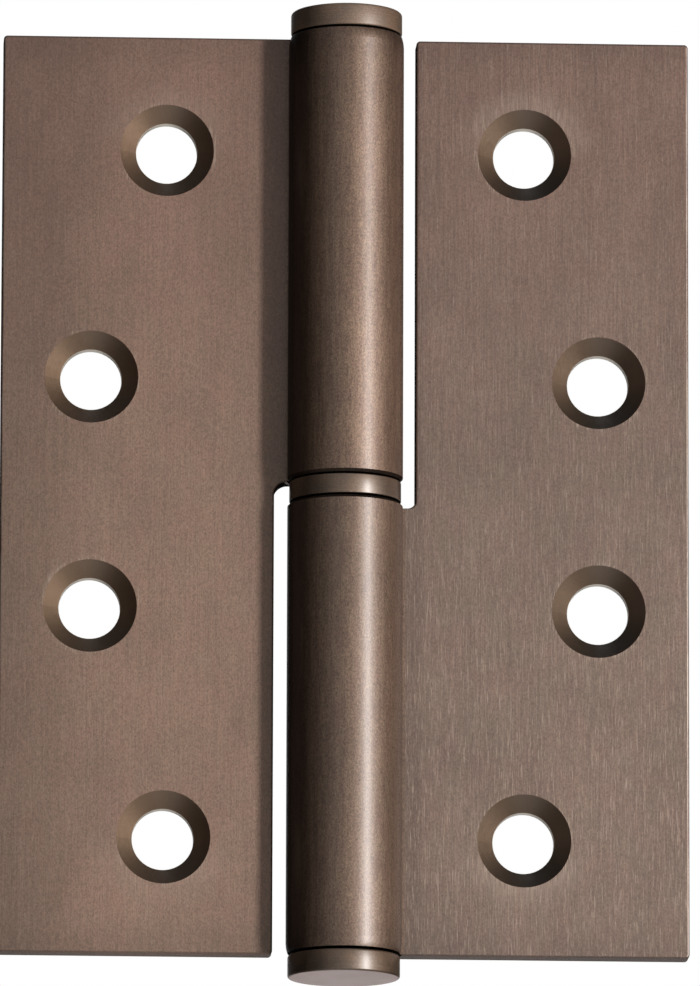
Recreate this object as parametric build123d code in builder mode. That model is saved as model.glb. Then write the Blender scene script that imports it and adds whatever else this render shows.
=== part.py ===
from build123d import *
import os

os.makedirs("parts", exist_ok=True)

# Lift-off hinge, opened flat, in millimetres.
# +Z runs up the pin, the countersunk faces look towards -Y, the door leaf is at -X
# and the frame leaf at +X. The origin is on the pin's axis, half way up the leaves.

# Leaves: each is one piece of brass, a flat plate with half of the barrel
leaf_height = 100.0
leaf_reach = 37.0  # pin axis to the free edge
leaf_thickness = 3.0
face_setback = 0.5  # countersunk face behind the pin axis, half of the gap when closed
leaf_corner_radius = 0.4
leaf_edge_radius = 0.25
root_radius = 0.5  # between the barrel and the plate's back
barrel_diameter = 12.4
barrel_rim_chamfer = 0.3  # at the washer
barrel_end_taper = 0.2  # polished away at the cap
barrel_end_taper_length = 1.1

# Notches, where each plate is milled away around the other leaf's barrel
notch_clearance = 1.4  # barrel to the notch's long edge
frame_notch_radius = 0.85
door_notch_radius = 1.5
frame_notch_undercut = 0.2  # notch end below the lower barrel's top

# Countersunk screw holes, staggered in two rows
screw_hole_diameter = 6.6
countersink_diameter = 10.1
countersink_angle = 90.0
hole_end_distance = 12.5  # leaf end to the first hole
inner_row_inset = 17.7  # free edge to the row with the end holes
outer_row_inset = 9.7  # free edge to the row with the middle holes

# Steel pin, pressed into the lower barrel and free in the upper one
pin_diameter = 7.0
pin_lead_in = 0.8
pin_end_gap = 7.0  # pin end to the cap's spigot, inside either barrel
running_clearance = 0.05  # radial, upper barrel and washer on the pin
bore_lead_in = 0.4

# Thrust washer between the barrels
washer_thickness = 2.5
washer_underside_drop = 1.25  # below half height
washer_rim_inset = 0.2  # barrel's surface to the washer's rim
washer_edge_chamfer = 0.1
washer_face_height = 0.2  # raised bearing face on either side, the dark line beside the barrel
washer_face_inset = 1.0  # washer's rim to the bearing face
bearing_play = 0.02  # washer to the upper barrel

# Button caps, pushed into the outer ends of the barrels
cap_height = 2.4
cap_rim_inset = 0.2  # barrel's surface to the cap's rim
cap_edge_chamfer = 0.25
cap_neck_height = 0.25  # the dark line between cap and barrel
cap_neck_inset = 1.2  # cap's rim to the neck
spigot_length = 6.0
spigot_chamfer = 0.4

# What follows from them
half_height = leaf_height / 2
barrel_radius = barrel_diameter / 2
notch_edge = barrel_radius + notch_clearance
lower_barrel_top = -washer_underside_drop
washer_top = lower_barrel_top + washer_thickness
upper_barrel_bottom = washer_top + bearing_play
frame_notch_level = lower_barrel_top - frame_notch_undercut
frame_root_bottom = barrel_end_taper_length - half_height
frame_root_top = lower_barrel_top - max(frame_notch_undercut, barrel_rim_chamfer)
door_root_bottom = upper_barrel_bottom + barrel_rim_chamfer
door_root_top = half_height - barrel_end_taper_length
fixed_bore_radius = pin_diameter / 2
running_bore_radius = fixed_bore_radius + running_clearance
cap_radius = barrel_radius - cap_rim_inset
washer_radius = barrel_radius - washer_rim_inset
inner_row = leaf_reach - inner_row_inset
outer_row = leaf_reach - outer_row_inset
end_hole_level = half_height - hole_end_distance
middle_hole_level = end_hole_level / 3  # even pitch up the leaf
pin_end_level = half_height - spigot_length - pin_end_gap
countersunk_face = Plane.XZ.offset(-face_setback)


def plate_outline(side, notch_level, open_end, notch_radius):
    """The plate seen from the front: full height at the free edge, and only one
    half of it, from notch_level to the end that isn't notched, at the barrel."""
    notch_corner = (side * notch_edge, notch_level)
    free_corners = [
        (side * notch_edge, open_end),
        (side * leaf_reach, open_end),
        (side * leaf_reach, -open_end),
    ]
    with BuildSketch(countersunk_face) as outline:
        with BuildLine():
            Polyline((0, notch_level), notch_corner, *free_corners, (0, -open_end), close=True)
        make_face()
        fillet(outline.vertices().sort_by_distance(notch_corner)[0], notch_radius)
        for corner in free_corners:
            fillet(outline.vertices().sort_by_distance(corner)[0], leaf_corner_radius)
    return outline.sketch


def barrel_profile(joint_end, cap_end):
    """Half section of a barrel, with a broken rim at the washer and a slight curved taper at the cap."""
    inwards = 1 if joint_end > cap_end else -1
    with BuildSketch(Plane.XZ) as profile:
        with BuildLine():
            flank = Polyline(
                (barrel_radius - barrel_end_taper, cap_end),
                (0, cap_end),
                (0, joint_end),
                (barrel_radius, joint_end),
                (barrel_radius, cap_end + inwards * barrel_end_taper_length),
            )
            TangentArc(flank @ 1, flank @ 0, tangent=flank % 1)
        make_face()
        chamfer(profile.vertices().sort_by_distance((barrel_radius, joint_end))[0], barrel_rim_chamfer)
    return profile.sketch


def bore_profile(radius, mouth, end):
    """Half section of a bore, from its mouth at the washer, with a lead-in, to the barrel's outer end."""
    inwards = 1 if end > mouth else -1
    with BuildSketch(Plane.XZ) as profile:
        with BuildLine():
            Polyline(
                (0, mouth),
                (radius + bore_lead_in, mouth),
                (radius, mouth + inwards * bore_lead_in),
                (radius, end),
                (0, end),
                close=True,
            )
        make_face()
    return profile.sketch


def root_section(side, level):
    """Cross-section of the barrel and the foot of the plate, with a radius between them at the back."""
    with BuildSketch(Plane.XY.offset(level)) as section:
        Circle(barrel_radius)
        with Locations((side * notch_edge / 2, face_setback + leaf_thickness / 2)):
            Rectangle(notch_edge, leaf_thickness)
        back_corners = section.vertices().group_by(Axis.Y)[-1]
        fillet(back_corners.sort_by_distance((0, 0))[0], root_radius)
    return section.sketch


def screw_spots(side):
    """Hole centres on the countersunk face, end holes near the barrel, middle holes near the free edge."""
    spots = []
    for level in (-1, 1):
        spots.append((side * inner_row, level * end_hole_level))
        spots.append((side * outer_row, level * middle_hole_level))
    return spots


def cap_profile(seat_level, up, bore_radius):
    """Half section of a turned cap, with its button above the seat where up is 1, and below it where -1."""
    with BuildSketch(Plane.XZ) as profile:
        with BuildLine():
            Polyline(
                (0, seat_level - up * spigot_length),
                (bore_radius - spigot_chamfer, seat_level - up * spigot_length),
                (bore_radius, seat_level - up * (spigot_length - spigot_chamfer)),
                (bore_radius, seat_level),
                (cap_radius - cap_neck_inset, seat_level),
                (cap_radius - cap_neck_inset, seat_level + up * cap_neck_height),
                (cap_radius, seat_level + up * cap_neck_height),
                (cap_radius, seat_level + up * (cap_neck_height + cap_height)),
                (0, seat_level + up * (cap_neck_height + cap_height)),
                close=True,
            )
        make_face()
        chamfer(profile.vertices().group_by(Axis.X)[-1], cap_edge_chamfer)
    return profile.sketch


# Frame leaf: plate at +X with the lower barrel, fixed to the door frame
with BuildPart() as frame_leaf:
    plate = plate_outline(1, frame_notch_level, half_height, frame_notch_radius)
    extrude(plate, amount=-leaf_thickness)
    fillet(frame_leaf.edges().filter_by(Axis.Y, reverse=True), leaf_edge_radius)
    revolve(barrel_profile(lower_barrel_top, -half_height), axis=Axis.Z)
    extrude(root_section(1, frame_root_bottom), amount=frame_root_top - frame_root_bottom)
    bore = bore_profile(fixed_bore_radius, lower_barrel_top, -half_height)
    revolve(bore, axis=Axis.Z, mode=Mode.SUBTRACT)
    with Locations(countersunk_face):
        with Locations(*screw_spots(1)):
            CounterSinkHole(
                screw_hole_diameter / 2,
                countersink_diameter / 2,
                counter_sink_angle=countersink_angle,
            )
frame_leaf.part.label = "frame_leaf"
export_step(frame_leaf.part, "parts/frame_leaf.step")

# Hinge pin: plain steel rod with a lead-in at either end
with BuildPart() as hinge_pin:
    with BuildSketch(Plane.XY.offset(-pin_end_level)):
        Circle(pin_diameter / 2)
    extrude(amount=2 * pin_end_level)
    chamfer(hinge_pin.edges().filter_by(GeomType.CIRCLE), pin_lead_in)
hinge_pin.part.label = "hinge_pin"
export_step(hinge_pin.part, "parts/hinge_pin.step")

# Thrust washer: ring on the lower barrel, round the pin, with a raised bearing face on either side
with BuildPart() as thrust_washer:
    with BuildSketch(Plane.XY.offset(lower_barrel_top)):
        Circle(washer_radius - washer_face_inset)
    extrude(amount=washer_thickness)
    with BuildSketch(Plane.XY.offset(lower_barrel_top + washer_face_height)):
        Circle(washer_radius)
    extrude(amount=washer_thickness - 2 * washer_face_height)
    rim_edges = thrust_washer.edges().filter_by(GeomType.CIRCLE).sort_by(SortBy.RADIUS)[-2:]
    chamfer(rim_edges, washer_edge_chamfer)
    with Locations(Plane.XY.offset(washer_top)):
        Hole(running_bore_radius)
thrust_washer.part.label = "thrust_washer"
export_step(thrust_washer.part, "parts/thrust_washer.step")

# Door leaf: plate at -X with the upper barrel, lifted off with the door
with BuildPart() as door_leaf:
    plate = plate_outline(-1, upper_barrel_bottom, -half_height, door_notch_radius)
    extrude(plate, amount=-leaf_thickness)
    fillet(door_leaf.edges().filter_by(Axis.Y, reverse=True), leaf_edge_radius)
    revolve(barrel_profile(upper_barrel_bottom, half_height), axis=Axis.Z)
    extrude(root_section(-1, door_root_bottom), amount=door_root_top - door_root_bottom)
    bore = bore_profile(running_bore_radius, upper_barrel_bottom, half_height)
    revolve(bore, axis=Axis.Z, mode=Mode.SUBTRACT)
    with Locations(countersunk_face):
        with Locations(*screw_spots(-1)):
            CounterSinkHole(
                screw_hole_diameter / 2,
                countersink_diameter / 2,
                counter_sink_angle=countersink_angle,
            )
door_leaf.part.label = "door_leaf"
export_step(door_leaf.part, "parts/door_leaf.step")

# Upper cap: closes the door leaf's barrel
with BuildPart() as upper_cap:
    revolve(cap_profile(half_height, 1, running_bore_radius), axis=Axis.Z)
upper_cap.part.label = "upper_cap"
export_step(upper_cap.part, "parts/upper_cap.step")

# Lower cap: closes the frame leaf's barrel
with BuildPart() as lower_cap:
    revolve(cap_profile(-half_height, -1, fixed_bore_radius), axis=Axis.Z)
lower_cap.part.label = "lower_cap"
export_step(lower_cap.part, "parts/lower_cap.step")
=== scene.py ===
import bpy
import math
from mathutils import Matrix, Vector


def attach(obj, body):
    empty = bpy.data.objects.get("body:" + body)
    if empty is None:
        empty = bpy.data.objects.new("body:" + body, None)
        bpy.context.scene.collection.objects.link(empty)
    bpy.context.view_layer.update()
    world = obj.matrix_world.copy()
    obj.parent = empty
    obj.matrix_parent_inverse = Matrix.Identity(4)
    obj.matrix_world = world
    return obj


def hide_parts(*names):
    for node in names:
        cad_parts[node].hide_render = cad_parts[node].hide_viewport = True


# Lift-off hinge, opened flat, in metres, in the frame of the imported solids:
# +Z up the pin, the countersunk faces towards -Y, the frame leaf at +X.
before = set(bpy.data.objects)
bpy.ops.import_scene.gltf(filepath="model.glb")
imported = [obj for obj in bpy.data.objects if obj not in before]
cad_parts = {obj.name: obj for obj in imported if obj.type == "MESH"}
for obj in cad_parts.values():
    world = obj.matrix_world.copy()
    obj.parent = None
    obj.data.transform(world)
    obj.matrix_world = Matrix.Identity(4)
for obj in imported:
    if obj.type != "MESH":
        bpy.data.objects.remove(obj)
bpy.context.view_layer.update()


# Frame leaf: the right-hand plate and the lower barrel, one drawn and milled piece of brass.
# Its faces are brushed along the pin, then browned in a chemical bath and lacquered.
# Countersunk screws hold it to the door frame; it stays where the solid has it.
MM = 0.001
barrel_radius = 6.2
leaf_end = 50.0
leaf_reach = 37.0
notch_edge = 7.6
hole_radius = 3.3
countersink_radius = 5.05
end_hole = (19.3, 37.5)
middle_hole = (27.3, 12.5)
halo_radius = 8.5

brown = (0.308, 0.198, 0.144, 1)
grey_brown = (0.200, 0.140, 0.110, 1)
red_brown = (0.280, 0.160, 0.122, 1)
olive_brown = (0.242, 0.170, 0.122, 1)
barrel_brown = (0.250, 0.164, 0.110, 1)
cone_brown = (0.235, 0.156, 0.098, 1)
# Near black: dark specks of oxide, and painted shade on walls, ends, the barrel's flank and seams
dark_oxide_and_shade = (0.012, 0.010, 0.009, 1)
rubbed_brass_and_highlight = (0.460, 0.350, 0.280, 1)
drilled_brass = (0.90, 0.82, 0.72, 1)
dark_glance = (0.08, 0.08, 0.08, 1)
lacquer_index = 2.0
relief_strength = 0.35
relief_depth = 0.02

# Marks on a leaf: turns per millimetre across it, out of it and along it, then octaves, fall and shift
leaf_marks = {
    "brushing": ((6.5, 6.5, 0.09), 3.0, 0.60, 0),
    "hairs": ((13.0, 13.0, 0.60), 2.0, 0.60, 19),
    "clouds": ((0.12, 0.12, 0.08), 2.0, 0.55, 0),
    "hue": ((0.40, 0.40, 0.22), 3.0, 0.55, 40),
    "pits": ((7.0, 7.0, 4.8), 2.0, 0.70, 0),
    "specks": ((6.0, 6.0, 3.2), 1.0, 0.55, 7),
    "mottle": ((2.2, 2.2, 0.40), 4.0, 0.65, 23),
}


def add(tree, kind, inputs=None, **settings):
    """A new shader node with its settings, and with each input set to a value or joined to a socket."""
    node = tree.nodes.new("ShaderNode" + kind)
    for name, value in settings.items():
        setattr(node, name, value)
    for key, value in (inputs or {}).items():
        if isinstance(value, bpy.types.NodeSocket):
            tree.links.new(value, node.inputs[key])
        else:
            node.inputs[key].default_value = value
    return node


def calc(tree, operation, first, second=0.0):
    """One sum on two values."""
    return add(tree, "Math", {0: first, 1: second}, operation=operation).outputs[0]


def times(tree, product, *factors):
    """The product of several values."""
    for factor in factors:
        product = calc(tree, "MULTIPLY", product, factor)
    return product


def rest_of(tree, share):
    """What a share leaves of 1."""
    return calc(tree, "SUBTRACT", 1.0, share)


def step(tree, value, start, end, low=0.0, high=1.0):
    """A soft step from low at start to high at end."""
    inputs = {"Value": value, "From Min": start, "From Max": end, "To Min": low, "To Max": high}
    return add(tree, "MapRange", inputs, interpolation_type="SMOOTHSTEP").outputs["Result"]


def between(tree, share, low, high):
    """Low where a share is 0, high where it is 1."""
    return step(tree, share, 0.0, 1.0, low, high)


def grain(tree, place, scale, detail=3.0, rough=0.55, offset=0.0):
    """Noise with its own scale along each axis, in turns per millimetre, from 0 to 1."""
    spread = add(tree, "Mapping", {"Vector": place, "Location": (offset, 0, offset), "Scale": scale})
    inputs = {"Vector": spread.outputs[0], "Scale": 1.0, "Detail": detail, "Roughness": rough}
    return add(tree, "TexNoise", inputs).outputs["Fac"]


def tint(tree, amount, under, over, blend="MIX"):
    """One colour laid over another by an amount."""
    inputs = {0: amount, 6: under, 7: over}
    return add(tree, "Mix", inputs, data_type="RGBA", blend_type=blend).outputs[2]


def shaded(tree, colour, level):
    """A colour made lighter or darker by a level."""
    grey = add(tree, "CombineColor", {0: level, 1: level, 2: level}).outputs[0]
    return tint(tree, 1.0, colour, grey, "MULTIPLY")


def new_metal(name):
    """A bare metal, with its node tree and its shader."""
    material = bpy.data.materials.new(name)
    material.use_nodes = True
    shader = material.node_tree.nodes["Principled BSDF"]
    shader.inputs["Metallic"].default_value = 1.0
    return material, material.node_tree, shader


def where(tree):
    """Place in millimetres, its X, Y and Z, its distance from the pin's axis, and the facing's X, Y and Z."""
    coords = add(tree, "TexCoord").outputs
    place = add(tree, "VectorMath", {0: coords["Object"], 3: 1 / MM}, operation="SCALE").outputs[0]
    spot = add(tree, "SeparateXYZ", {0: place}).outputs
    flat = add(tree, "CombineXYZ", {"X": spot["X"], "Y": spot["Y"]}).outputs[0]
    from_axis = add(tree, "VectorMath", {0: flat}, operation="LENGTH").outputs["Value"]
    facing = add(tree, "SeparateXYZ", {0: coords["Normal"]}).outputs
    return place, spot, from_axis, facing


def surface(tree, shader, colour, roughness, height, strength, depth):
    """Joins a colour, a roughness and a relief, with its depth in millimetres, to the shader."""
    relief = add(tree, "Bump", {"Height": height, "Strength": strength, "Distance": depth * MM})
    tree.links.new(colour, shader.inputs["Base Color"])
    tree.links.new(roughness, shader.inputs["Roughness"])
    tree.links.new(relief.outputs[0], shader.inputs["Normal"])


def clear_lacquer(tree, shader, weight, roughness, glance):
    """A clear coat, and the colour that the metal under it takes on at a glancing view."""
    tree.links.new(weight, shader.inputs["Coat Weight"])
    shader.inputs["Coat Roughness"].default_value = roughness
    shader.inputs["Coat IOR"].default_value = lacquer_index
    shader.inputs["Specular Tint"].default_value = glance


def bronzed_leaf(name, tone, brush_level, hair_level, halo_level, painted_top_shade, painted_edge_shade, painted_root_shade,
                 painted_cone_shade, barrel_tone, barrel_rough, lacquer, offset):
    """Brushed, browned and lacquered brass of a leaf, rubbed and given a painted highlight at its rims, with
    painted shade in its notch, on its walls and round its barrel.
    """
    material, tree, shader = new_metal(name)
    place, spot, from_pin, facing = where(tree)
    marks = {}
    for mark, (scale, detail, fall, shift) in leaf_marks.items():
        marks[mark] = grain(tree, place, scale, detail, fall, offset + shift)

    # Parts of the leaf: the barrel, the plate and its front, the countersinks' cones and the bores
    across = calc(tree, "ABSOLUTE", spot["X"])
    along = calc(tree, "ABSOLUTE", spot["Z"])
    barrel = step(tree, from_pin, barrel_radius + 0.5, barrel_radius + 0.05)
    plate = rest_of(tree, barrel)
    front = step(tree, facing["Y"], -0.35, -0.85)
    quarter = add(tree, "CombineXYZ", {"X": across, "Y": along}).outputs[0]
    from_holes = []
    for centre in (end_hole, middle_hole):
        away = add(tree, "VectorMath", {0: quarter, 1: (*centre, 0)}, operation="DISTANCE")
        from_holes.append(away.outputs["Value"])
    from_hole = calc(tree, "MINIMUM", *from_holes)
    cone = times(tree, step(tree, from_hole, countersink_radius + 0.01, countersink_radius - 0.08),
                 step(tree, facing["Y"], 0.6, 0.3))
    bore = step(tree, from_hole, hole_radius + 0.03, hole_radius + 0.005)

    # Colour of the bath: redder towards the top, in red patches on the barrel
    colour = tint(tree, step(tree, marks["hue"], 0.35, 0.65), red_brown, olive_brown)
    colour = tint(tree, 0.74, colour, tone)
    colour = tint(tree, step(tree, spot["Z"], -5.0, leaf_end, 0.0, 0.6), colour, red_brown)
    colour = tint(tree, times(tree, barrel, 0.85), colour, barrel_brown)
    patch = times(tree, barrel, step(tree, marks["mottle"], 0.60, 0.38, 0.0, 0.42))
    colour = tint(tree, patch, colour, red_brown)

    # Streaks, pits and clouds in the brown; darker towards the ends; painted shade towards the top, the free
    # edge, and beside the notch and barrel where the barrel's shadow falls
    streaks = times(tree, step(tree, marks["brushing"], 0.25, 0.75, -1.0, 1.0),
                    between(tree, barrel, brush_level, 0.11))
    pitting = times(tree, step(tree, marks["pits"], 0.25, 0.72, -1.0, 1.0),
                    between(tree, barrel, 0.23, 0.40))
    colour = shaded(tree, colour, times(
        tree,
        calc(tree, "ADD", streaks, 1.0),
        calc(tree, "ADD", pitting, 0.98),
        step(tree, marks["clouds"], 0.3, 0.7, 0.93, 1.07),
        step(tree, along, leaf_end - 4.5, leaf_end - 0.4, 1.0, 0.86),
        # painted shade: darker towards the top and the free edge, and beside the notch and barrel as the
        # barrel's shadow
        step(tree, spot["Z"], -20.0, leaf_end, 1.0, painted_top_shade),
        step(tree, across, leaf_reach - 15.0, leaf_reach, 1.0, painted_edge_shade),
        step(tree, across, notch_edge + 1.2, notch_edge, 1.0, 0.84),
        step(tree, across, notch_edge + 9.4, notch_edge, 1.0, painted_root_shade),
        between(tree, barrel, 1.0, barrel_tone),
        calc(tree, "SUBTRACT", 1.08, times(tree, patch, 0.5)),
    ))

    # Lighter marks: hairs of the brush, specks and the free edge, rubbed light; the countersinks' rims, worn
    # and with a painted highlight; and lighter surrounds round the end countersinks
    lower_down = step(tree, spot["Z"], 30.0, -30.0, 0.45, 1.0)
    hair = times(tree, step(tree, marks["hairs"], 0.52, 0.75), lower_down, front, plate, hair_level)
    colour = tint(tree, hair, colour, rubbed_brass_and_highlight)
    colour = tint(tree, step(tree, marks["specks"], 0.72, 0.80, 0.0, 0.5), colour, rubbed_brass_and_highlight)
    colour = tint(tree, step(tree, marks["specks"], 0.30, 0.23, 0.0, 0.6), colour, dark_oxide_and_shade)
    # countersinks' rims: wear, and a painted highlight where the edge catches the light
    rim = times(
        tree,
        step(tree, from_hole, countersink_radius + 0.60, countersink_radius + 0.03),
        step(tree, from_hole, countersink_radius - 0.05, countersink_radius + 0.01),
        step(tree, marks["hairs"], 0.50, 0.62),
        step(tree, marks["hue"], 0.46, 0.56),
        front,
        0.8,
    )
    colour = tint(tree, rim, colour, rubbed_brass_and_highlight)
    halo = times(
        tree,
        step(tree, from_holes[0], halo_radius, countersink_radius - 0.05),
        step(tree, along, end_hole[1] - 1.0, end_hole[1] + 4.0),
        step(tree, marks["hairs"], 0.35, 0.70, 0.3, 1.0),
        front,
        halo_level,
    )
    colour = tint(tree, halo, colour, rubbed_brass_and_highlight)
    edge = times(
        tree,
        step(tree, across, leaf_reach - 0.32, leaf_reach - 0.12),
        step(tree, facing["Y"], -0.25, -0.6),
        step(tree, marks["hue"], 0.40, 0.60),
        0.5,
    )
    colour = tint(tree, edge, colour, rubbed_brass_and_highlight)

    # Painted shade: the notch's walls, the barrel's ends and its flank at -X darkened as if in shadow, and a
    # little on other walls
    endwise = step(tree, calc(tree, "ABSOLUTE", facing["Z"]), 0.45, 0.8)
    at_end = step(tree, along, leaf_end - 0.6, leaf_end - 0.1)
    leaf_end_face = times(tree, endwise, at_end)
    in_notch = times(tree, step(tree, across, notch_edge + 1.9, notch_edge + 0.9), rest_of(tree, at_end))
    # painted shade on the plate's upright walls, full in the notch, light on the leaf's ends
    painted_wall_shade = times(
        tree,
        step(tree, calc(tree, "ABSOLUTE", facing["Y"]), 0.75, 0.35),
        plate,
        between(tree, in_notch, 0.28, 1.0),
        between(tree, leaf_end_face, 1.0, 0.15),
        rest_of(tree, cone),
    )
    barrel_end_face = times(tree, endwise, step(tree, from_pin, barrel_radius + 0.1, barrel_radius + 0.02))
    dark = calc(tree, "MAXIMUM", painted_wall_shade, barrel_end_face)
    # painted shade on the barrel's flank at -X, beside the plate
    painted_flank_shade = times(tree, barrel, step(tree, facing["X"], -0.55, -0.95, 0.0, 0.75))
    colour = tint(tree, calc(tree, "MAXIMUM", dark, painted_flank_shade), colour, dark_oxide_and_shade)

    # Countersinks, with painted light and shade: lighter on their left walls, darker on their right and lower
    # sides; bare metal in the bores
    colour = tint(tree, times(tree, cone, 0.8), colour, cone_brown)
    # painted light and shade by the wall's facing, and an overall painted shade level
    upward = calc(tree, "MAXIMUM", facing["Z"], 0.0)
    painted_cone_shading = calc(tree, "SUBTRACT", times(tree, facing["X"], 0.55), times(tree, upward, 0.85))
    painted_cone_shading = times(tree, calc(tree, "ADD", painted_cone_shading, painted_cone_shade - 1.0), cone)
    colour = shaded(tree, colour, calc(tree, "ADD", painted_cone_shading, 1.0))
    colour = tint(tree, bore, colour, drilled_brass)

    rough = calc(tree, "ADD", between(tree, barrel, 0.62, barrel_rough), between(tree, cone, 0.0, -0.10))
    rough = calc(tree, "ADD", rough, step(tree, marks["brushing"], 0.25, 0.75, -0.04, 0.04))
    height = calc(tree, "ADD", marks["brushing"], times(tree, marks["hairs"], 0.6))
    height = times(tree, height, between(tree, barrel, 1.0, 0.2))
    height = calc(tree, "ADD", height, times(tree, marks["pits"], between(tree, barrel, 0.5, 1.3)))
    surface(tree, shader, colour, rough, height, relief_strength, relief_depth)
    weight, lacquer_rough = lacquer
    weight = times(tree, rest_of(tree, dark), weight, between(tree, leaf_end_face, 1.0, 0.6))
    clear_lacquer(tree, shader, weight, lacquer_rough, dark_glance)
    return material


def finish_solid(node_name, material):
    """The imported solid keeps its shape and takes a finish."""
    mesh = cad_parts[node_name].data
    mesh.materials.clear()
    mesh.materials.append(material)


finish_solid("frame_leaf", bronzed_leaf(
    "bronzed_frame_leaf", grey_brown, brush_level=0.14, hair_level=0.78, halo_level=0.55,
    painted_top_shade=0.86, painted_edge_shade=0.97, painted_root_shade=0.97, painted_cone_shade=0.82, barrel_tone=0.93,
    barrel_rough=0.62, lacquer=(0.44, 0.36), offset=11.0))


# Hinge pin: a plain ground steel rod with a lead-in at either end, lightly oiled.
# It is pressed into the lower barrel, and the upper barrel runs on it and lifts off it.
scene = bpy.context.scene
pin_radius = 3.5
pin_half_length = 37.0
pin_lead_in = 0.8
pin_edge_radius = 0.15
steps_round = 160
steps_on_edge = 3
weld_distance = 0.001

dull_steel = (0.44, 0.43, 0.41, 1)
bright_steel = (0.60, 0.59, 0.57, 1)
oily_steel = (0.36, 0.32, 0.25, 1)
cropped_steel = (0.16, 0.15, 0.14, 1)
cropped_rough = 0.66


def lathe_tree():
    """Sweeps a half section round the pin's axis, with its edges rounded, as a lathe leaves them."""
    tree = bpy.data.node_groups.new("lathe", "GeometryNodeTree")
    face = tree.interface
    face.new_socket("Half section", in_out="INPUT", socket_type="NodeSocketGeometry")
    for label, kind in (("Edge radius", "NodeSocketFloat"), ("Sweep radius", "NodeSocketFloat"),
                        ("Steps round", "NodeSocketInt"), ("Finish", "NodeSocketMaterial")):
        face.new_socket(label, in_out="INPUT", socket_type=kind)
    face.new_socket("Turned piece", in_out="OUTPUT", socket_type="NodeSocketGeometry")
    nodes, links = tree.nodes, tree.links
    source, result = nodes.new("NodeGroupInput"), nodes.new("NodeGroupOutput")

    section = nodes.new("GeometryNodeMeshToCurve")
    rounded = nodes.new("GeometryNodeFilletCurve")
    rounded.mode = "POLY"
    rounded.inputs["Limit Radius"].default_value = True
    rounded.inputs["Count"].default_value = steps_on_edge
    ring = nodes.new("GeometryNodeCurvePrimitiveCircle")
    upright = nodes.new("GeometryNodeSetCurveNormal")
    upright.mode = "Z_UP"
    sweep = nodes.new("GeometryNodeCurveToMesh")
    closed = nodes.new("GeometryNodeMergeByDistance")
    closed.inputs["Distance"].default_value = weld_distance * MM
    smooth = nodes.new("GeometryNodeSetShadeSmooth")
    real = nodes.new("GeometryNodeRealizeInstances")
    finish = nodes.new("GeometryNodeSetMaterial")

    links.new(source.outputs["Half section"], section.inputs["Mesh"])
    links.new(section.outputs["Curve"], rounded.inputs["Curve"])
    links.new(source.outputs["Edge radius"], rounded.inputs["Radius"])
    links.new(source.outputs["Steps round"], ring.inputs["Resolution"])
    links.new(source.outputs["Sweep radius"], ring.inputs["Radius"])
    links.new(ring.outputs["Curve"], upright.inputs["Curve"])
    links.new(upright.outputs["Curve"], sweep.inputs["Curve"])
    links.new(rounded.outputs["Curve"], sweep.inputs["Profile Curve"])
    links.new(sweep.outputs["Mesh"], closed.inputs["Geometry"])
    links.new(closed.outputs["Geometry"], smooth.inputs["Geometry"])
    links.new(smooth.outputs["Geometry"], real.inputs["Geometry"])
    links.new(real.outputs["Geometry"], finish.inputs["Geometry"])
    links.new(source.outputs["Finish"], finish.inputs["Material"])
    links.new(finish.outputs["Geometry"], result.inputs["Turned piece"])
    return tree


lathe = lathe_tree()


def turn(name, section, edge_radius, material):
    """A turned piece from its half section, given as radius and height in millimetres."""
    sweep_radius = pin_radius * MM
    ring = section[0][0] > 0
    area = sum(a[0] * b[1] - b[0] * a[1] for a, b in zip(section, section[1:] + section[:1]))
    if area > 0:
        section = section[::-1]
    points = [(r * MM - sweep_radius, -z * MM, 0) for r, z in section]
    edges = [(i, i + 1) for i in range(len(points) - 1)]
    if ring:
        edges.append((len(points) - 1, 0))
    mesh = bpy.data.meshes.new(name + "_section")
    mesh.from_pydata(points, edges, [])
    piece = bpy.data.objects.new(name, mesh)
    scene.collection.objects.link(piece)
    turning = piece.modifiers.new("turning", "NODES")
    turning.node_group = lathe
    values = {
        "Edge radius": edge_radius * MM,
        "Sweep radius": sweep_radius,
        "Steps round": steps_round,
        "Finish": material,
    }
    for socket in lathe.interface.items_tree:
        if socket.in_out == "INPUT" and socket.name in values:
            turning[socket.identifier] = values[socket.name]
    evening = piece.modifiers.new("even_shading", "WEIGHTED_NORMAL")
    evening.keep_sharp = True
    turned = bpy.data.meshes.new_from_object(piece.evaluated_get(bpy.context.evaluated_depsgraph_get()))
    piece.modifiers.clear()
    piece.data = turned
    turned.name = name
    bpy.data.meshes.remove(mesh)
    return piece


def ground_steel():
    """Bright steel with fine grinding rings round it, a thin film of oil and dull cropped ends."""
    material, tree, shader = new_metal("ground_pin_steel")
    place, _, _, facing = where(tree)
    rings = grain(tree, place, (0.3, 0.3, 9.0), detail=4.0)
    oil = grain(tree, place, (0.35, 0.35, 0.15))
    end_face = step(tree, calc(tree, "ABSOLUTE", facing["Z"]), 0.80, 0.95)
    colour = tint(tree, step(tree, rings, 0.3, 0.7), dull_steel, bright_steel)
    colour = tint(tree, step(tree, oil, 0.52, 0.75, 0.0, 0.45), colour, oily_steel)
    colour = tint(tree, end_face, colour, cropped_steel)
    ground_rough = step(tree, oil, 0.35, 0.7, 0.22, 0.36)
    rough = calc(tree, "MAXIMUM", ground_rough, between(tree, end_face, 0.0, cropped_rough))
    surface(tree, shader, colour, rough, rings, strength=0.2, depth=0.01)
    return material


pin = turn("pin", [
    (0, -pin_half_length),
    (pin_radius - pin_lead_in, -pin_half_length),
    (pin_radius, pin_lead_in - pin_half_length),
    (pin_radius, pin_half_length - pin_lead_in),
    (pin_radius - pin_lead_in, pin_half_length),
    (0, pin_half_length),
], pin_edge_radius, ground_steel())
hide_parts("hinge_pin")
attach(pin, "frame_leaf")


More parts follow.
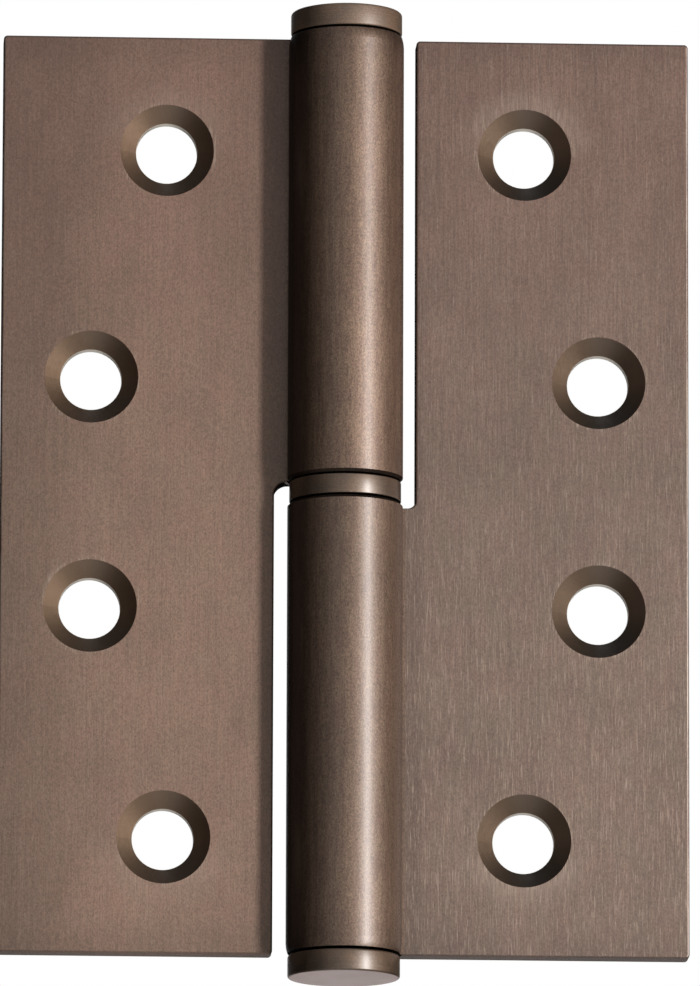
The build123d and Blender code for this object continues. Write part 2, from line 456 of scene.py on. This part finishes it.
# Thrust washer: a brass ring turned on a lathe and browned like the leaves, loose on the pin.
# It carries the upper barrel on a raised face, so a dark line shows above and below its rim, deepened there
# by painted shade.
washer_radius = 6.0
washer_bore_radius = 3.55
washer_face_radius = 5.0
washer_face_height = 0.2
washer_bottom = -1.25
washer_top = 1.25
washer_edge_radius = 0.1
faced_brown = (0.430, 0.285, 0.262, 1)


def bronzed_turning(name, tone, roughness, lacquer, seam, glance, offset):
    """Turned, browned and lacquered brass, with faint tool rings, and painted shade between two levels in its
    seam.
    """
    material, tree, shader = new_metal(name)
    place, spot, from_axis, facing = where(tree)
    ring_place = add(tree, "CombineXYZ", {"X": from_axis, "Y": 0.0, "Z": spot["Z"]}).outputs[0]
    rings = grain(tree, ring_place, (7.0, 1.0, 7.0), offset=offset)
    clouds = grain(tree, place, (0.35, 0.35, 0.35), offset=offset)
    pits = grain(tree, place, (8.0, 8.0, 6.5), detail=2.0, rough=0.7, offset=offset)
    specks = grain(tree, place, (4.5, 4.5, 4.5), detail=1.0, offset=offset)

    colour = tint(tree, step(tree, clouds, 0.35, 0.65), olive_brown, barrel_brown)
    colour = shaded(tree, colour, times(
        tree,
        step(tree, rings, 0.3, 0.7, 0.88, 1.10),
        step(tree, clouds, 0.3, 0.7, 0.92, 1.10),
        step(tree, pits, 0.25, 0.72, 0.74, 1.22),
        tone,
    ))
    end_face = step(tree, calc(tree, "ABSOLUTE", facing["Z"]), 0.85, 0.97, 0.0, 0.85)
    colour = tint(tree, end_face, colour, faced_brown)
    colour = tint(tree, step(tree, specks, 0.70, 0.80, 0.0, 0.5), colour, rubbed_brass_and_highlight)
    level = calc(tree, "ABSOLUTE", spot["Z"])
    seam_start, seam_end = seam
    # painted shade in the seam between this piece and its neighbour
    dark = times(tree, step(tree, level, seam_start - 0.03, seam_start),
                 step(tree, level, seam_end + 0.06, seam_end))
    colour = tint(tree, dark, colour, dark_oxide_and_shade)

    rough = step(tree, clouds, 0.3, 0.7, roughness - 0.04, roughness + 0.04)
    height = calc(tree, "ADD", times(tree, rings, 0.7), times(tree, pits, 1.3))
    surface(tree, shader, colour, rough, height, relief_strength, relief_depth)
    weight, lacquer_rough = lacquer
    clear_lacquer(tree, shader, times(tree, rest_of(tree, dark), weight), lacquer_rough, glance)
    return material


washer_finish = bronzed_turning(
    "bronzed_washer", tone=0.70, roughness=0.60, lacquer=(0.50, 0.33), glance=dark_glance,
    seam=(washer_top - washer_face_height, 2 * washer_top), offset=3.0)
washer = turn("washer", [
    (washer_bore_radius, washer_bottom),
    (washer_face_radius, washer_bottom),
    (washer_face_radius, washer_bottom + washer_face_height),
    (washer_radius, washer_bottom + washer_face_height),
    (washer_radius, washer_top - washer_face_height),
    (washer_face_radius, washer_top - washer_face_height),
    (washer_face_radius, washer_top),
    (washer_bore_radius, washer_top),
], washer_edge_radius, washer_finish)
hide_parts("thrust_washer")
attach(washer, "washer")


# Door leaf: the left-hand plate and the upper barrel, made as the frame leaf is.
# It is screwed to the door, turns on the pin and lifts straight up off it.
finish_solid("door_leaf", bronzed_leaf(
    "bronzed_door_leaf", brown, brush_level=0.085, hair_level=0.26, halo_level=0.30,
    painted_top_shade=0.93, painted_edge_shade=0.74, painted_root_shade=0.86, painted_cone_shade=1.0, barrel_tone=1.18,
    barrel_rough=0.60, lacquer=(0.38, 0.36), offset=57.0))


# Button caps: two turned brass plugs, browned like the leaves, pushed into the barrels' outer ends.
# Each sits on a short neck, which leaves a dark line between its rim and the barrel, deepened there by
# painted shade.
cap_radius = 6.0
cap_height = 2.4
cap_edge_radius = 0.25
cap_neck_radius = 4.8
cap_neck_height = 0.25
spigot_length = 6.0
spigot_chamfer = 0.4
upper_bore_radius = 3.55
lower_bore_radius = 3.5
cap_seam = (leaf_end - 0.5, leaf_end + cap_neck_height + 0.02)
full_glance = (1, 1, 1, 1)


def cap_section(up, bore_radius):
    """Half section of a cap, from its spigot's end to the middle of its button."""
    spigot_end = leaf_end - spigot_length
    rim = leaf_end + cap_neck_height
    profile = [
        (0, spigot_end),
        (bore_radius - spigot_chamfer, spigot_end),
        (bore_radius, spigot_end + spigot_chamfer),
        (bore_radius, leaf_end),
        (cap_neck_radius, leaf_end),
        (cap_neck_radius, rim),
        (cap_radius, rim),
        (cap_radius, rim + cap_height),
        (0, rim + cap_height),
    ]
    return [(radius, up * level) for radius, level in profile]


upper_finish = bronzed_turning(
    "bronzed_upper_cap", tone=1.0, roughness=0.72, lacquer=(0.42, 0.44), glance=full_glance,
    seam=cap_seam, offset=29.0)
upper_button = turn("upper_button", cap_section(1, upper_bore_radius), cap_edge_radius, upper_finish)
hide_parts("upper_cap")
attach(upper_button, "door_leaf")
lower_finish = bronzed_turning(
    "bronzed_lower_cap", tone=0.63, roughness=0.60, lacquer=(0.45, 0.33), glance=full_glance,
    seam=cap_seam, offset=3.0)
lower_button = turn("lower_button", cap_section(-1, lower_bore_radius), cap_edge_radius, lower_finish)
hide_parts("lower_cap")
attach(lower_button, "frame_leaf")


# Studio: a pale floor under a white room, with a dim screen round the front of the hinge.
# Only reflections see the screen, so the metal shows a soft front light and dark sides.
scene.view_settings.view_transform = "Standard"
white = (1, 1, 1, 1)
floor_level = -0.8
floor_half = 6.0
floor_corners = ((-1, -1), (1, -1), (1, 1), (-1, 1))
floor_grey = (0.78, 0.78, 0.78, 1)
floor_pale = (0.82, 0.82, 0.82, 1)
screen_radius = 0.76
screen_opening = math.radians(19)
screen_rows = 24
screen_columns = 48
screen_warm = (1.0, 0.88, 0.74, 1)
screen_cool = (0.92, 0.97, 1.0, 1)

world = bpy.data.worlds.new("white_room")
scene.world = world
world.use_nodes = True
world.node_tree.nodes["Background"].inputs["Color"].default_value = white
world.node_tree.nodes["Background"].inputs["Strength"].default_value = 1.0

floor_mesh = bpy.data.meshes.new("floor")
floor_points = [(x * floor_half, y * floor_half, floor_level) for x, y in floor_corners]
floor_mesh.from_pydata(floor_points, [], [(0, 1, 2, 3)])
floor = bpy.data.objects.new("floor", floor_mesh)
scene.collection.objects.link(floor)
floor_paint = bpy.data.materials.new("pale_floor")
floor_paint.use_nodes = True
floor_tree = floor_paint.node_tree
floor_shader = floor_tree.nodes["Principled BSDF"]
floor_place = add(floor_tree, "TexCoord").outputs["Object"]
floor_cloud = add(floor_tree, "TexNoise", {"Vector": floor_place, "Scale": 3.0, "Detail": 2.0})
floor_colour = tint(floor_tree, floor_cloud.outputs["Fac"], floor_grey, floor_pale)
floor_tree.links.new(floor_colour, floor_shader.inputs["Base Color"])
floor_shader.inputs["Roughness"].default_value = 0.7
floor_mesh.materials.append(floor_paint)


def screen_dome():
    """Dome round the front and sides, open behind, whose glow fades from the front to either side."""
    points, faces = [], []
    for row in range(screen_rows + 1):
        tilt = math.pi * (row / screen_rows - 0.5)
        for column in range(screen_columns + 1):
            swing = screen_opening - math.pi + 2 * (math.pi - screen_opening) * column / screen_columns
            points.append((screen_radius * math.cos(tilt) * math.sin(swing),
                           -screen_radius * math.cos(tilt) * math.cos(swing),
                           screen_radius * math.sin(tilt)))
    for row in range(screen_rows):
        for column in range(screen_columns):
            first = row * (screen_columns + 1) + column
            above = first + screen_columns + 1
            faces.append((first, above, above + 1, first + 1))
    mesh = bpy.data.meshes.new("dim_screen")
    mesh.from_pydata(points, [], faces)
    screen = bpy.data.objects.new("dim_screen", mesh)
    scene.collection.objects.link(screen)

    glow = bpy.data.materials.new("dim_screen")
    glow.use_nodes = True
    tree = glow.node_tree
    tree.nodes.clear()
    place = add(tree, "TexCoord").outputs["Object"]
    heading = add(tree, "VectorMath", {0: place}, operation="NORMALIZE").outputs[0]
    side, back, up = add(tree, "SeparateXYZ", {0: heading}).outputs
    from_left = step(tree, side, -0.84, -0.32, 0.006, 0.37)
    from_right = step(tree, side, 0.80, 0.25, 0.12, 1.0)
    level = times(tree, from_left, from_right, between(tree, step(tree, back, 0.1, -0.5), 0.05, 1.0))
    overhead = step(tree, up, 0.70, 0.95, 0.0, 0.12)
    underfoot = step(tree, up, -0.80, -0.97, 0.0, 0.60)
    behind = step(tree, back, 0.45, 0.75, 0.0, 0.11)
    for patch in (overhead, underfoot, behind):
        level = calc(tree, "MAXIMUM", level, patch)
    colour = tint(tree, step(tree, side, 0.15, 0.75), white, screen_warm)
    colour = tint(tree, step(tree, side, -0.15, -0.75), colour, screen_cool)
    light = add(tree, "Emission", {"Color": colour, "Strength": level})
    tree.links.new(light.outputs[0], add(tree, "OutputMaterial").inputs["Surface"])
    glow.cycles.emission_sampling = "NONE"
    mesh.materials.append(glow)
    screen.visible_camera = False
    screen.visible_diffuse = False
    screen.visible_shadow = False


screen_dome()


# Key light: one narrow upright lamp to the right of the camera and a little below the hinge.
# It draws the bright line down the barrel and the barrel's shadow on the door leaf.
key_azimuth = math.radians(44)
key_elevation = math.radians(-5)
key_distance = 0.68
key_width = 0.06
key_length = 0.45
key_power = 5.4


def outwards(azimuth, elevation):
    """The way from the hinge to a stand round its front, with the azimuth from -Y towards +X."""
    return Vector((math.sin(azimuth) * math.cos(elevation),
                   -math.cos(azimuth) * math.cos(elevation),
                   math.sin(elevation)))


key_heading = outwards(key_azimuth, key_elevation)
key_lamp = bpy.data.lights.new("key_light", "AREA")
key_lamp.shape = "RECTANGLE"
key_lamp.size = key_width
key_lamp.size_y = key_length
key_lamp.energy = key_power
key_light = bpy.data.objects.new("key_light", key_lamp)
key_light.location = key_heading * key_distance
key_light.rotation_euler = key_heading.to_track_quat("Z", "Y").to_euler()
key_light.visible_camera = False
scene.collection.objects.link(key_light)


# Camera: long lens, in front of the hinge, a little below it and to its left, slightly rolled.
# The picture is 700 by 986, so the lens follows from the focal length in pixels.
camera_azimuth = math.radians(-2.84)
camera_elevation = math.radians(-11.0)
camera_roll = math.radians(0.18)
camera_distance = 1.339
camera_aim = Vector((0.52, 0, 0.02)) * MM
focal_pixels = 12481.8
picture_height = 986
film = 36

back = outwards(camera_azimuth, camera_elevation)
level_right = Vector((math.cos(camera_azimuth), math.sin(camera_azimuth), 0))
level_up = back.cross(level_right)
right = level_right * math.cos(camera_roll) + level_up * math.sin(camera_roll)
up = level_up * math.cos(camera_roll) - level_right * math.sin(camera_roll)
camera = bpy.data.objects.new("camera", bpy.data.cameras.new("camera"))
camera.data.sensor_fit = "VERTICAL"
camera.data.sensor_width = film
camera.data.sensor_height = film
camera.data.lens = focal_pixels * film / picture_height
stand = Matrix((right, up, back)).transposed().to_4x4()
stand.translation = camera_aim + back * camera_distance
camera.matrix_world = stand
scene.collection.objects.link(camera)
scene.camera = camera
